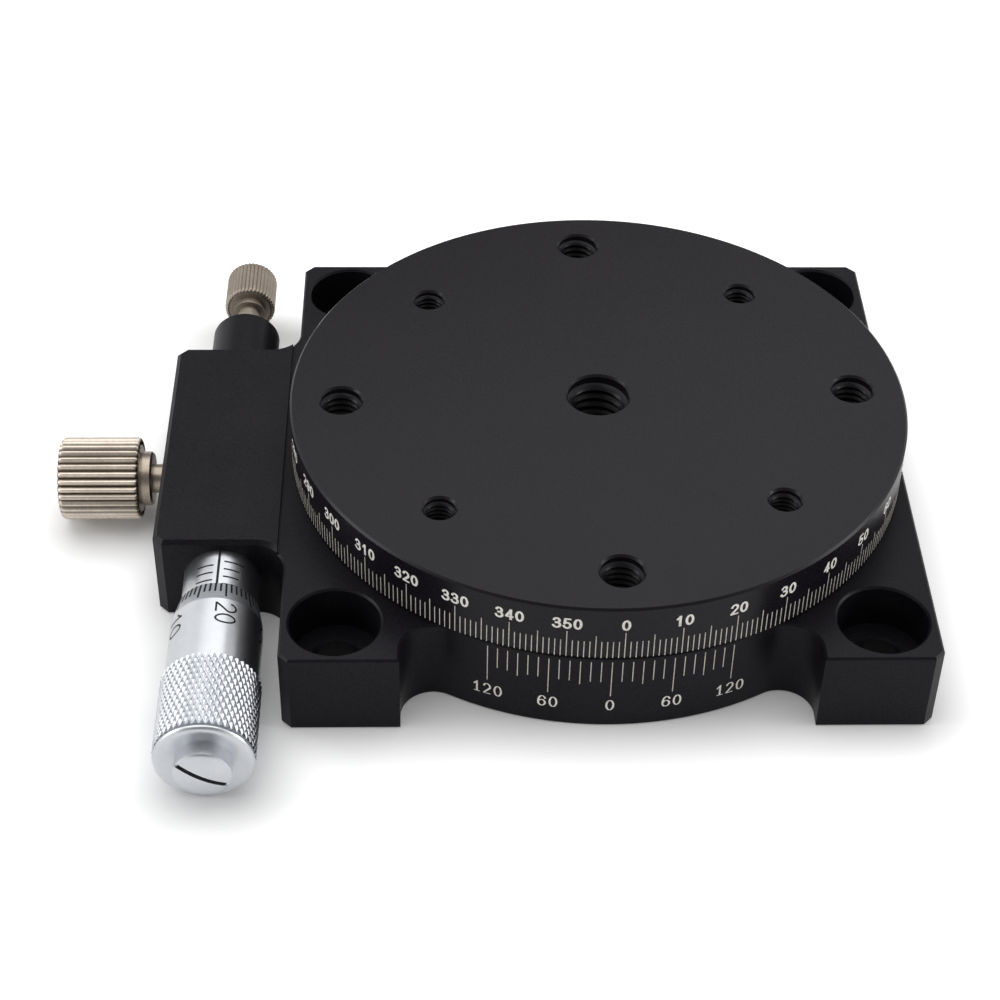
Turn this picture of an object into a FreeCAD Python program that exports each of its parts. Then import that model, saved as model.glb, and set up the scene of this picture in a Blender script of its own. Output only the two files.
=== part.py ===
import FreeCAD, Part
import math, os

os.makedirs("parts", exist_ok=True)

# Manual rotation stage with a micrometer fine adjustment, in millimetres.
# +X right, +Y away from the viewer, +Z up. The origin is on the turning axis, at the underside.

V = FreeCAD.Vector
UP, RIGHT, AWAY, TOWARDS = V(0, 0, 1), V(1, 0, 0), V(0, 1, 0), V(0, -1, 0)

# Table, at the angle that it has in the photograph
table_r = 30.0
table_thickness = 6.0
table_edge_chamfer = 0.2
table_turn = 1.9
table_gap = 0.2
centre_thread_r = 3.0
outer_thread_r, outer_thread_inset = 2.0, 5.0
inner_thread_r, inner_thread_square = 1.5, 32.0
thread_count = 4
thread_lead_in = 0.2

# Base: its square and its round boss follow the table
base_h = 8.8
boss_setback = 0.2
ear_width, ear_corner, scallop_r = 10.9, 0.9, 3.0
bolt_inset, bolt_clear_r = 5.0, 2.25
counterbore_r, counterbore_depth = 4.2, 4.6
edge_break = 0.2

# Side block that carries the micrometer
micrometer_offset = 6.15
block_overhang, block_half, block_rise = 6.35, 14.9, 0.5
block_chamfer, block_top_chamfer = 0.9, 0.4
block_wall = 1.2
end_wall = 5.1
rim_clearance = 0.7

# Bottom cover in its recess
cover_t, cover_setback, cover_gap = 0.9, 0.1, 0.2
cover_ledge = 1.4
cover_hole_r = 4.0
cover_land = 4.1
cover_screw_r, cover_head_r, cover_screw_length, cover_tap_room = 1.0, 1.75, 4.4, 0.3
cover_screw_angles = (60.0, -60.0)
cover_wing_screw_inset, cover_wing_screw_side = 3.0, 0.6

# Crossed-roller bearing
race_outer_r, race_h, race_t, race_setback = 22.0, 2.2, 3.4, 0.1
race_gap = 0.5
roller_r, roller_length, roller_play = 0.75, 1.44, 0.02
roller_count = 16
spacer_t, spacer_h, spacer_gap = 0.36, 1.3, 0.1
seat_ledge = 2.6

# Rotor hub under the table
hub_low, hub_flange_t, hub_flange_w, hub_neck = 1.4, 0.5, 1.4, 0.6
hub_bore_r = 3.5
hub_screw_r, hub_screw_inset, hub_screw_count = 1.5, 4.5, 3
hub_head_r, hub_head_h, hub_head_room = 2.75, 3.0, 0.1
hub_screw_length = 8.6

# Tangent arm on the hub
arm_running = 0.06
ring_gap, ring_drop = 0.5, 0.15
arm_half, arm_drop, arm_side_room = 3.0, 0.4, 0.6
tip_width, tip_room = 4.2, 0.8
pad_t, pad_edge = 0.8, 0.3

# Micrometer head
contact_gap = 0.05
travel_full, reading, pitch = 6.5, 3.18, 0.5
stem_r, sleeve_r, sleeve_length, sleeve_bore_r = 3.0, 3.6, 16.6, 1.8
thimble_gap = 0.1
zero_from_block = 1.45
bevel_length, bevel_lip = 2.45, 0.1
thimble_r, knurl_r, knurl_start, thimble_length = 4.3, 4.6, 9.7, 18.8
thimble_end_wall, knurl_round = 1.6, 0.45
spindle_r, ball_r, ball_nest = 1.75, 1.0, 0.3
cap_r, cap_h, cap_dome, cap_slot_w, cap_slot_d, cap_slot_turn = 2.6, 1.8, 0.45, 0.45, 0.7, 25.0
cap_stud_r, cap_stud_length = 1.15, 3.4
grub_r, grub_inset, grub_edge = 1.25, 0.3, 2.0

# Spring plunger opposite the micrometer
housing_r, housing_length, housing_chamfer = 3.5, 8.1, 0.8
housing_reach, guide_t, guide_gap = 2.5, 1.0, 0.05
housing_bore_r = 2.3
plug_r, plug_t = 2.75, 1.6
pin_r, pin_nose_r, pin_nose_length = 1.3, 0.3, 0.9
pin_head_r, pin_head_t, pin_head_room = 2.2, 1.2, 4.0
spring_r, spring_wire_w, spring_wire_h, spring_turns = 1.75, 0.5, 0.4, 4.0
seat_r, seat_t, seat_room = 2.1, 0.7, 0.5
preload_r, preload_gap = 1.2, 0.05
preload_neck, preload_knob_r, preload_knob_length = 4.6, 2.7, 5.15
preload_collar_r, preload_collar_t, preload_chamfer = 1.7, 0.9, 0.35

# Coarse clamp thumbscrew
clamp_r, clamp_gap, clamp_cover = 1.45, 0.05, 1.8
slot_room = 0.35
shoe_length = 2.9
thumb_stand_off, thumb_r, thumb_length = 2.7, 4.1, 7.9
thumb_collar_r, thumb_collar_t, thumb_chamfer = 2.7, 1.2, 0.4

# Heights that follow from the sizes above
race_low = base_h - race_setback - race_h
race_top = race_low + race_h
table_low = base_h + table_gap
table_top = table_low + table_thickness
block_h = base_h + block_rise
pocket_roof = block_h - block_wall
counterbore_floor = base_h - counterbore_depth
cover_low, cover_top = cover_setback, cover_setback + cover_t
cover_screw_tip = cover_low + cover_screw_length
hub_flange_low = race_low - hub_flange_t
ring_top = hub_flange_low - ring_drop
arm_low, arm_top = hub_low, race_low - arm_drop
tip_top = pocket_roof - tip_room
micrometer_z = block_h / 2
clamp_z = arm_top - clamp_cover

# Plan places
base_half = table_r
boss_r = table_r - boss_setback
ear_inner = base_half - ear_width
bolt_at = base_half - bolt_inset
micrometer_x = -(table_r + micrometer_offset)
block_left = micrometer_x - block_overhang
pocket_left = block_left + block_wall
pocket_half = block_half - end_wall
step_x = -(table_r + rim_clearance)
outer_thread_at = table_r - outer_thread_inset
inner_thread_at = inner_thread_square / math.sqrt(2)
chamber_r = race_outer_r - seat_ledge
race_pitch_r = race_outer_r - race_t
race_inner_r = race_pitch_r - (race_t - race_gap + 0.1)
hub_r = race_inner_r - hub_neck
hub_flange_r = race_inner_r + hub_flange_w
hub_screw_at = hub_r - hub_screw_inset
table_foot_r = hub_flange_r + 0.2
ring_r = chamber_r - ring_gap
cover_recess_r = chamber_r + cover_land
cover_screw_ring_r = chamber_r + cover_land / 2
tip_start, tip_end = step_x - 0.8, micrometer_x - tip_width
pad_r = tip_top - micrometer_z - pad_edge
thumb_start = block_left - thumb_stand_off

# The micrometer turns the arm about the table's axis
retract, advance = travel_full - reading, reading
swing_back = math.degrees(retract / -micrometer_x)
swing_forward = math.degrees(advance / -micrometer_x)
channel_half = arm_half - step_x * math.tan(math.radians(swing_back)) + arm_side_room
bevel_y = -block_half - zero_from_block - reading
ball_y = -arm_half - contact_gap - ball_r
housing_front, housing_end = pocket_half - housing_reach, block_half + housing_length
pin_head_y = housing_front + guide_t + pin_head_room
seat_y = housing_end - plug_t - seat_room - seat_t
knob_y = housing_end + preload_neck


def turned_point(radius, degrees):
    angle = math.radians(degrees)
    return V(radius * math.cos(angle), radius * math.sin(angle), 0)


def box(xs, ys, zs):
    return Part.makeBox(xs[1] - xs[0], ys[1] - ys[0], zs[1] - zs[0], V(xs[0], ys[0], zs[0]))


def prism(points, low, high):
    corners = [V(x, y, low) for x, y in points]
    return Part.Face(Part.makePolygon(corners + corners[:1])).extrude(UP * (high - low))


def rod(radius, start, end):
    return Part.makeCylinder(radius, (end - start).Length, start, end - start)


def disc(radius, low, high, centre=V(0, 0, 0)):
    return rod(radius, centre + UP * low, centre + UP * high)


# A turned piece: its profile is a closed list of (distance along the axis, radius)
def turned(profile, origin, direction):
    corners = [V(radius, 0, along) for along, radius in profile]
    shape = Part.Face(Part.makePolygon(corners + corners[:1])).revolve(V(0, 0, 0), UP, 360)
    shape.Placement = FreeCAD.Placement(origin, FreeCAD.Rotation(UP, direction))
    return shape


def threaded_hole(radius, centre, low, high):
    mouth = turned([(high - thread_lead_in, 0), (high - thread_lead_in, radius),
                    (high, radius + thread_lead_in), (high, 0)], centre, UP)
    return disc(radius, low, high, centre).fuse(mouth)


# The concave corner between an ear and the round boss, on the front right
def scallop():
    centre_x = ear_inner - scallop_r
    reach = boss_r + scallop_r
    centre_y = -math.sqrt(reach ** 2 - centre_x ** 2)
    meet = boss_r / reach * 0.96
    inner_y = -math.sqrt(boss_r ** 2 - ear_inner ** 2) + 1
    web = prism([(centre_x, centre_y), (ear_inner + 0.5, centre_y), (ear_inner + 0.5, inner_y),
                 (centre_x * meet, centre_y * meet)], 0, base_h)
    return web.cut(disc(scallop_r, -1, base_h + 1, V(centre_x, centre_y, 0)))


def ear(x, y):
    inner, outer, flat = ear_inner, base_half, base_half - ear_corner
    corners = [(inner, inner), (outer, inner), (outer, flat), (flat, outer), (inner, outer)]
    return prism([(x * a, y * b) for a, b in corners], 0, base_h)


def block_outline(height):
    near = block_left + block_chamfer
    side = block_half - block_chamfer
    shape = prism([(-ear_inner, -block_half), (-ear_inner, block_half), (near, block_half),
                   (block_left, side), (block_left, -side), (near, -block_half)], 0, height)
    for sign in (1, -1):
        low, high = sorted((sign * block_half, sign * (block_half + scallop_r)))
        corner = box((-base_half - scallop_r, -base_half + 1), (low, high), (0, height))
        round_centre = V(-base_half - scallop_r, sign * (block_half + scallop_r), 0)
        shape = shape.fuse(corner.cut(disc(scallop_r, -1, height + 1, round_centre)))
    return shape


# Chamfers the edges of the top at one height, but not the step between the two heights
def top_edges_broken(shape, height, size):
    edges = []
    for edge in shape.Edges:
        room = edge.BoundBox
        level = abs(room.ZMin - height) < 1e-3 and abs(room.ZMax - height) < 1e-3
        if level and not (abs(room.XMin - step_x) < 1e-3 and abs(room.XMax - step_x) < 1e-3):
            edges.append(edge)
    return shape.makeChamfer(size, edges)


def cover_outline(low, high, inset=0.0):
    wing = box((pocket_left - cover_ledge / 3 + inset, -chamber_r),
               (-pocket_half - cover_ledge + inset, pocket_half + cover_ledge - inset), (low, high))
    return disc(cover_recess_r - inset, low, high).fuse(wing)


def cover_screw_places():
    wing_x, wing_y = cover_wing_screw_inset - base_half, pocket_half - cover_wing_screw_side
    ring = [turned_point(cover_screw_ring_r, a) for a in cover_screw_angles]
    return ring + [V(wing_x, wing_y, 0), V(wing_x, -wing_y, 0)]


def make_base():
    shape = disc(boss_r, 0, base_h)
    for x in (1, -1):
        for y in (1, -1):
            shape = shape.fuse(ear(x, y))
    shape = shape.fuse(box((-base_half, base_half), (-ear_inner, ear_inner), (0, base_h)))
    right, left = scallop(), scallop().mirror(V(0, 0, 0), RIGHT)
    for corner in (right, left, right.mirror(V(0, 0, 0), AWAY), left.mirror(V(0, 0, 0), AWAY)):
        shape = shape.fuse(corner)
    raised = block_outline(block_h).common(box((block_left - 1, step_x), (-base_half, base_half),
                                               (0, block_h + 1)))
    shape = shape.fuse(block_outline(base_h)).fuse(raised).removeSplitter()
    shape = top_edges_broken(top_edges_broken(shape, base_h, edge_break), block_h, block_top_chamfer)

    cuts = [disc(chamber_r, cover_top, race_low), disc(race_outer_r, race_low, base_h + 1),
            box((step_x - 1, 2 - chamber_r), (-channel_half, channel_half), (0, race_low)),
            box((pocket_left, step_x - 0.3), (-pocket_half, pocket_half), (0, pocket_roof)),
            cover_outline(-1, cover_top)]
    for x in (bolt_at, -bolt_at):
        for y in (bolt_at, -bolt_at):
            cuts.append(disc(bolt_clear_r, -1, base_h, V(x, y, 0)))
            cuts.append(disc(counterbore_r, counterbore_floor, base_h + 1, V(x, y, 0)))
    for place in cover_screw_places():
        cuts.append(disc(cover_screw_r, 0, cover_screw_tip + cover_tap_room, place))
    axis = V(micrometer_x, 0, micrometer_z)
    cuts.append(rod(stem_r, axis + TOWARDS * (block_half + 1), axis + AWAY * (block_half + 1)))
    cuts.append(disc(grub_r, -1, micrometer_z, V(micrometer_x, grub_edge - block_half, 0)))
    # The clamp screw swings with the arm, so it leaves through a slot in the left wall
    wall = -block_left
    ends = [wall * math.tan(math.radians(swing_forward)), -wall * math.tan(math.radians(swing_back))]
    half = clamp_r + slot_room
    for y in ends:
        cuts.append(rod(half, V(pocket_left + 1, y, clamp_z), V(block_left - 1, y, clamp_z)))
    cuts.append(box((block_left - 1, pocket_left + 1), (ends[1], ends[0]), (clamp_z - half, clamp_z + half)))
    for cut in cuts:
        shape = shape.cut(cut)
    return shape


def make_cover():
    shape = cover_outline(cover_low, cover_top, cover_gap).cut(disc(cover_hole_r, -1, cover_top + 1))
    for place in cover_screw_places():
        shape = shape.cut(countersunk(place, 0.05))
    return shape


def countersunk(place, room=0.0):
    head = cover_head_r + room
    shank = cover_screw_r + room
    taper = cover_head_r - cover_screw_r
    top = cover_screw_tip if room == 0 else cover_top + 1
    profile = [(cover_low, 0), (cover_low, head), (cover_low + taper, shank), (top, shank), (top, 0)]
    return turned(profile, place, UP)


def make_cover_screws():
    screws = []
    for place in cover_screw_places():
        screws.append(countersunk(place))
    return Part.makeCompound(screws)


def groove():
    middle = race_low + race_h / 2
    depth = (roller_r + roller_play) * math.sqrt(2)
    return middle, depth, depth - race_gap / 2


def make_outer_race():
    middle, depth, half = groove()
    lip = race_pitch_r + race_gap / 2
    return turned([(race_low, lip), (race_low, race_outer_r), (race_top, race_outer_r), (race_top, lip),
                   (middle + half, lip), (middle, race_pitch_r + depth), (middle - half, lip)],
                  V(0, 0, 0), UP)


def make_inner_race():
    middle, depth, half = groove()
    lip = race_pitch_r - race_gap / 2
    return turned([(race_low, race_inner_r), (race_low, lip), (middle - half, lip),
                   (middle, race_pitch_r - depth), (middle + half, lip), (race_top, lip),
                   (race_top, race_inner_r)], V(0, 0, 0), UP)


# Neighbouring rollers lean opposite ways, so one row carries load both ways
def make_rollers():
    middle = race_low + race_h / 2
    rollers = []
    for i in range(roller_count):
        out = turned_point(1, i * 360 / roller_count)
        lean = (out + UP * (1 if i % 2 else -1)).normalize() * (roller_length / 2)
        centre = out * race_pitch_r + UP * middle
        rollers.append(rod(roller_r, centre - lean, centre + lean))
    return Part.makeCompound(rollers)


def make_spacers():
    middle = race_low + race_h / 2
    length = 2 * math.pi * race_pitch_r / roller_count - 2 * roller_r - 2 * spacer_gap
    spacers = []
    for i in range(roller_count):
        pad = box((race_pitch_r - spacer_t / 2, race_pitch_r + spacer_t / 2),
                  (-length / 2, length / 2), (middle - spacer_h / 2, middle + spacer_h / 2))
        pad.rotate(V(0, 0, 0), UP, (i + 0.5) * 360 / roller_count)
        spacers.append(pad)
    return Part.makeCompound(spacers)


def hub_screw_places():
    return [turned_point(hub_screw_at, table_turn + 15 + i * 360 / hub_screw_count)
            for i in range(hub_screw_count)]


def hub_head_seat():
    return hub_low + hub_head_h + 2 * hub_head_room


def make_hub():
    top = race_top
    shape = turned([(hub_low, hub_bore_r), (hub_low, hub_r), (hub_flange_low, hub_r),
                    (hub_flange_low, hub_flange_r), (race_low, hub_flange_r),
                    (race_low, race_inner_r), (top, race_inner_r), (top, hub_bore_r)], V(0, 0, 0), UP)
    for place in hub_screw_places():
        shape = shape.cut(disc(hub_screw_r, hub_low, top + 1, place))
        shape = shape.cut(disc(hub_head_r + hub_head_room, hub_low - 1, hub_head_seat(), place))
    return shape


def make_hub_screws():
    screws = []
    seat = hub_head_seat()
    for place in hub_screw_places():
        head = disc(hub_head_r, seat - hub_head_h, seat, place)
        screws.append(head.fuse(disc(hub_screw_r, seat, seat + hub_screw_length, place)))
    return Part.makeCompound(screws)


def make_table():
    top, chamfer = table_top, table_edge_chamfer
    shape = turned([(race_top, 0), (race_top, table_foot_r), (table_low, table_foot_r),
                    (table_low, table_r), (top - chamfer, table_r), (top, table_r - chamfer), (top, 0)],
                   V(0, 0, 0), UP)
    holes = [(centre_thread_r, V(0, 0, 0))]
    for i in range(thread_count):
        angle = table_turn + i * 360 / thread_count
        holes.append((outer_thread_r, turned_point(outer_thread_at, angle)))
        holes.append((inner_thread_r, turned_point(inner_thread_at, angle + 45)))
    for radius, centre in holes:
        shape = shape.cut(threaded_hole(radius, centre, race_top - 1, top))
    screw_end = hub_head_seat() + hub_screw_length
    for place in hub_screw_places():
        shape = shape.cut(disc(hub_screw_r, race_top - 1, screw_end + 0.3, place))
    return shape


def make_arm():
    shape = disc(ring_r, arm_low, ring_top)
    shape = shape.fuse(box((tip_end, -table_foot_r - 0.1), (-arm_half, arm_half), (arm_low, arm_top)))
    shape = shape.fuse(box((tip_end, tip_start), (-arm_half, arm_half), (arm_low, tip_top)))
    shape = shape.cut(disc(hub_r + arm_running, 0, tip_top + 1))
    shape = shape.cut(rod(clamp_r + clamp_gap, V(tip_end - 1, 0, clamp_z), V(1 - hub_r, 0, clamp_z)))
    for pad in pad_discs():
        shape = shape.cut(pad)
    return shape.removeSplitter()


def pad_discs():
    faces = [rod(pad_r, V(micrometer_x, s * (arm_half - pad_t), micrometer_z),
                 V(micrometer_x, s * arm_half, micrometer_z)) for s in (1, -1)]
    return faces


def make_sleeve():
    inner = pocket_half
    shoulder = block_half
    end = block_half + sleeve_length
    return turned([(inner, sleeve_bore_r), (inner, stem_r), (shoulder, stem_r), (shoulder, sleeve_r),
                   (end, sleeve_r), (end, sleeve_bore_r)], V(micrometer_x, 0, micrometer_z), TOWARDS)


# Distances along the thimble are counted from its graduated edge
def make_thimble():
    bore = sleeve_r + thimble_gap
    lip = bore + bevel_lip
    floor = thimble_length - thimble_end_wall
    end, hub = thimble_length, cap_stud_r + 0.05
    profile = [(0, bore), (0, lip), (bevel_length, thimble_r), (knurl_start, thimble_r),
               (knurl_start + 0.1, knurl_r)]
    for degrees in (0, 30, 60, 90):
        bend = turned_point(knurl_round, degrees)
        profile.append((end - knurl_round + bend.y, knurl_r - knurl_round + bend.x))
    profile += [(end, hub), (floor, hub), (floor, bore)]
    return turned(profile, V(micrometer_x, bevel_y, micrometer_z), TOWARDS)


def make_spindle():
    nose = -ball_y + ball_nest
    rear = -bevel_y + thimble_length - thimble_end_wall
    stud = cap_stud_length - thimble_end_wall + 0.2
    shape = turned([(nose, 0), (nose, spindle_r - 0.15), (nose + 0.5, spindle_r), (rear, spindle_r),
                    (rear, cap_stud_r + 0.05), (rear - stud, cap_stud_r + 0.05), (rear - stud, 0)],
                   V(micrometer_x, 0, micrometer_z), TOWARDS)
    nest = Part.makeSphere(ball_r + 0.02, V(micrometer_x, ball_y, micrometer_z))
    return shape.cut(nest)


def make_cap():
    stud, dome = cap_stud_length, cap_dome
    profile = [(-stud, 0), (-stud, cap_stud_r), (0, cap_stud_r), (0, cap_r), (cap_h - dome, cap_r),
               (cap_h - dome * 0.35, cap_r * 0.8), (cap_h, cap_r * 0.4), (cap_h, 0)]
    end_y = bevel_y - thimble_length
    shape = turned(profile, V(micrometer_x, end_y, micrometer_z), TOWARDS)
    slot = box((-cap_r - 1, cap_r + 1), (end_y - cap_h - 1, end_y - cap_h + cap_slot_d),
               (-cap_slot_w / 2, cap_slot_w / 2))
    slot.rotate(V(0, end_y, 0), AWAY, cap_slot_turn)
    slot.translate(V(micrometer_x, 0, micrometer_z))
    return shape.cut(slot)


def make_housing():
    front, end = housing_front, housing_end
    guide = pin_r + guide_gap
    plug_start = end - plug_t
    chamfer = housing_chamfer
    return turned([(front, guide), (front, stem_r), (block_half, stem_r), (block_half, housing_r),
                   (end - chamfer, housing_r), (end, housing_r - chamfer + 0.2), (end, plug_r),
                   (plug_start, plug_r), (plug_start, housing_bore_r),
                   (front + guide_t, housing_bore_r), (front + guide_t, guide)],
                  V(micrometer_x, 0, micrometer_z), AWAY)


def make_plug():
    start = housing_end - plug_t
    hole = preload_r + preload_gap
    return turned([(start, hole), (start, plug_r), (housing_end, plug_r), (housing_end, hole)],
                  V(micrometer_x, 0, micrometer_z), AWAY)


def make_plunger():
    tip = arm_half + contact_gap
    head_end = pin_head_y + pin_head_t
    return turned([(tip, 0), (tip, pin_nose_r), (tip + pin_nose_length, pin_r), (pin_head_y, pin_r),
                   (pin_head_y, pin_head_r), (head_end, pin_head_r), (head_end, 0)],
                  V(micrometer_x, 0, micrometer_z), AWAY)


def make_spring():
    start = pin_head_y + pin_head_t + spring_wire_h / 2
    length = seat_y - spring_wire_h / 2 - start
    path = Part.makeHelix(length / spring_turns, length, spring_r)
    half_w, half_h = spring_wire_w / 2, spring_wire_h / 2
    corners = [V(spring_r + w * half_w, 0, h * half_h) for w, h in ((-1, -1), (1, -1), (1, 1), (-1, 1), (-1, -1))]
    shape = Part.Wire(path).makePipeShell([Part.makePolygon(corners)], True, True)
    shape.Placement = FreeCAD.Placement(V(micrometer_x, start, micrometer_z),
                                        FreeCAD.Rotation(UP, AWAY))
    return shape


def make_seat():
    return turned([(seat_y, 0), (seat_y, seat_r), (seat_y + seat_t, seat_r), (seat_y + seat_t, 0)],
                  V(micrometer_x, 0, micrometer_z), AWAY)


def make_preload_screw():
    knob, end, edge = knob_y, knob_y + preload_knob_length, preload_chamfer
    profile = [(seat_y + seat_t + 0.02, 0), (seat_y + seat_t + 0.02, preload_r),
               (knob - preload_collar_t, preload_r), (knob - preload_collar_t, preload_collar_r),
               (knob, preload_collar_r), (knob, preload_knob_r - edge), (knob + edge, preload_knob_r),
               (end - edge, preload_knob_r), (end, preload_knob_r - edge), (end, 0)]
    return turned(profile, V(micrometer_x, 0, micrometer_z), AWAY)


# Distances along the clamp screw are counted outwards from the turning axis
def make_shoe():
    face = hub_r + clamp_gap
    shape = rod(clamp_r, V(-face - shoe_length, 0, clamp_z), V(-face + 0.5, 0, clamp_z))
    return shape.cut(disc(face, clamp_z - 4, clamp_z + 4))


def make_clamp_screw():
    tip = hub_r + clamp_gap + shoe_length + 0.02
    head, end, edge = -thumb_start, thumb_length - thumb_start, thumb_chamfer
    collar = head - thumb_collar_t
    profile = [(tip, 0), (tip, clamp_r), (collar, clamp_r), (collar, thumb_collar_r),
               (head, thumb_collar_r), (head, thumb_r - edge), (head + edge, thumb_r),
               (end - edge, thumb_r), (end, thumb_r - edge), (end, 0)]
    return turned(profile, V(0, 0, clamp_z), RIGHT * -1)


pieces = {
    "base_body": make_base(),
    "bottom_cover": make_cover(),
    "cover_screws": make_cover_screws(),
    "outer_race": make_outer_race(),
    "inner_race": make_inner_race(),
    "bearing_rollers": make_rollers(),
    "bearing_spacers": make_spacers(),
    "rotor_hub": make_hub(),
    "hub_screws": make_hub_screws(),
    "table_plate": make_table(),
    "tangent_arm": make_arm(),
    "arm_pads": Part.makeCompound(pad_discs()),
    "clamp_shoe": make_shoe(),
    "clamp_screw": make_clamp_screw(),
    "micrometer_sleeve": make_sleeve(),
    "sleeve_set_screw": disc(grub_r, grub_inset, micrometer_z - stem_r,
                             V(micrometer_x, grub_edge - block_half, 0)),
    "spindle": make_spindle(),
    "spindle_ball": Part.makeSphere(ball_r, V(micrometer_x, ball_y, micrometer_z)),
    "thimble": make_thimble(),
    "thimble_cap": make_cap(),
    "plunger_housing": make_housing(),
    "housing_plug": make_plug(),
    "plunger_pin": make_plunger(),
    "return_spring": make_spring(),
    "spring_seat": make_seat(),
    "preload_screw": make_preload_screw(),
}
for node, shape in pieces.items():
    shape.exportStep("parts/" + node + ".step")
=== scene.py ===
import math
from functools import partial
import bmesh
import bpy
from mathutils import Matrix, Vector


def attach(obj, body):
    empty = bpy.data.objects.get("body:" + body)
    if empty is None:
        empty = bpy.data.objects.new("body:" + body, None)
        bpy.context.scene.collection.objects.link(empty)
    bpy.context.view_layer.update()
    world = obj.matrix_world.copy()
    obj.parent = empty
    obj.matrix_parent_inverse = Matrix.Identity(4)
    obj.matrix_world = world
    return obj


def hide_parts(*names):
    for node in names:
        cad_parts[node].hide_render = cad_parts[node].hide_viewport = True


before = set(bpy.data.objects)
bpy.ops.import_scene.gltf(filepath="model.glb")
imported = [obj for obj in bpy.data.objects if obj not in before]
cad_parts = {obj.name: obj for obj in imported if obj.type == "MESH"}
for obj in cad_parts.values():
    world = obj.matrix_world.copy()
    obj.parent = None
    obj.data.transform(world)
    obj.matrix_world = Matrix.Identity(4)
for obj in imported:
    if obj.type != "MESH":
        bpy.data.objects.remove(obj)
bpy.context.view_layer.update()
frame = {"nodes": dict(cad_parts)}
scene = bpy.context.scene
mm = 0.001

# Kinds of node that come often
combineXYZ, separateXYZ, mapRange = "ShaderNodeCombineXYZ", "ShaderNodeSeparateXYZ", "ShaderNodeMapRange"
noise, vectorMaths, inputPosition = "ShaderNodeTexNoise", "ShaderNodeVectorMath", "GeometryNodeInputPosition"
setPosition, instances = "GeometryNodeSetPosition", "GeometryNodeInstanceOnPoints"
realize, meshLine, meshGrid = "GeometryNodeRealizeInstances", "GeometryNodeMeshLine", "GeometryNodeMeshGrid"


def hexColor(code):
    channels = [int(code[i:i + 2], 16) / 255 for i in (1, 3, 5)]
    return [c / 12.92 if c <= 0.04045 else ((c + 0.055) / 1.055) ** 2.4 for c in channels] + [1.0]


# Adds a node, and a kind in capitals is a maths operation. Its inputs are values, sockets or nodes, as a
# list in order or a dictionary by name
def addNode(tree, kind, inputs=(), **settings):
    if kind.isupper():
        kind, settings["operation"] = "ShaderNodeMath", kind
    node = tree.nodes.new(kind)
    for name, value in settings.items():
        setattr(node, name, value)
    for key, value in inputs.items() if isinstance(inputs, dict) else enumerate(inputs):
        if isinstance(value, bpy.types.Node):
            value = value.outputs[0]
        if isinstance(value, bpy.types.NodeSocket):
            tree.links.new(value, node.inputs[key])
        elif value is not None:
            node.inputs[key].default_value = value
    return node


# Several values of a dictionary, by their names
def pick(values, names):
    return [values[name] for name in names.split(", ")]


def arcPoints(cx, cy, radius, start, end, steps, radiusY=None):
    angles = [math.radians(start + (end - start) * i / steps) for i in range(steps + 1)]
    return [(cx + radius * math.cos(a), cy + (radiusY or radius) * math.sin(a)) for a in angles]


def insetLoop(points, amount):
    result = []
    for i, (x, y) in enumerate(points):
        before, after = Vector(points[i - 1]), Vector(points[(i + 1) % len(points)])
        here = Vector((x, y))
        a, b = (here - before).normalized(), (after - here).normalized()
        na, nb = Vector((a.y, -a.x)), Vector((b.y, -b.x))
        result.append(here - (na + nb) * amount / (1 + na.dot(nb)))
    return [(p.x, p.y) for p in result]


# An upright block on an outline, with its top and bottom edges broken
def prismMesh(outline, low, high, topEdge=0.0, bottomEdge=0.0):
    levels = [(low + bottomEdge, outline), (high - topEdge, outline)]
    if bottomEdge:
        levels.insert(0, (low, insetLoop(outline, bottomEdge)))
    if topEdge:
        levels.append((high, insetLoop(outline, topEdge)))
    bm = bmesh.new()
    rings = [[bm.verts.new((x, y, z)) for x, y in loop] for z, loop in levels]
    count = len(outline)
    for lower, upper in zip(rings, rings[1:]):
        for i in range(count):
            j = (i + 1) % count
            bm.faces.new((lower[i], lower[j], upper[j], upper[i]))
    bm.faces.new(rings[0][::-1])
    bm.faces.new(rings[-1])
    return bm


# A turned piece about local Z: the profile is (along, radius), closed on itself or through the axis
def turnedMesh(profile, segments=96):
    bm = bmesh.new()
    rings = []
    for along, radius in profile:
        if radius < 1e-6:
            rings.append([bm.verts.new((0, 0, along))])
        else:
            rings.append([bm.verts.new((x, y, along))
                          for x, y in arcPoints(0, 0, radius, 0, 360, segments)[:-1]])
    pairs = list(zip(rings, rings[1:]))
    if len(rings[0]) > 1 and len(rings[-1]) > 1:
        pairs.append((rings[-1], rings[0]))
    for a, b in pairs:
        for i in range(segments):
            j = (i + 1) % segments
            corners = list(dict.fromkeys([a[i % len(a)], a[j % len(a)], b[j % len(b)], b[i % len(b)]]))
            if len(corners) > 2:
                bm.faces.new(corners)
    bmesh.ops.recalc_face_normals(bm, faces=bm.faces)
    return bm


def boxMesh(left, right, half, low, high):
    return prismMesh([(left, -half), (right, -half), (right, half), (left, half)], low, high)


def discMesh(radius, low, high):
    return prismMesh(arcPoints(0, 0, radius, 0, 360, 160)[:-1], low, high)


def meshFrom(bm, name):
    mesh = bpy.data.meshes.new(name)
    bm.to_mesh(mesh)
    bm.free()
    return mesh


def opened(*meshes):
    bm = bmesh.new()
    for mesh in meshes:
        bm.from_mesh(mesh)
    return bm


def joinMeshes(meshes):
    return meshFrom(opened(*meshes), "joined")


def linked(name, data):
    thing = bpy.data.objects.new(name, data)
    scene.collection.objects.link(thing)
    return thing


def looseObject(bm):
    return linked("tool", meshFrom(bm, "tool"))


def evaluated(thing):
    bpy.context.view_layer.update()
    graph = bpy.context.evaluated_depsgraph_get()
    return bpy.data.meshes.new_from_object(thing.evaluated_get(graph), depsgraph=graph)


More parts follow.
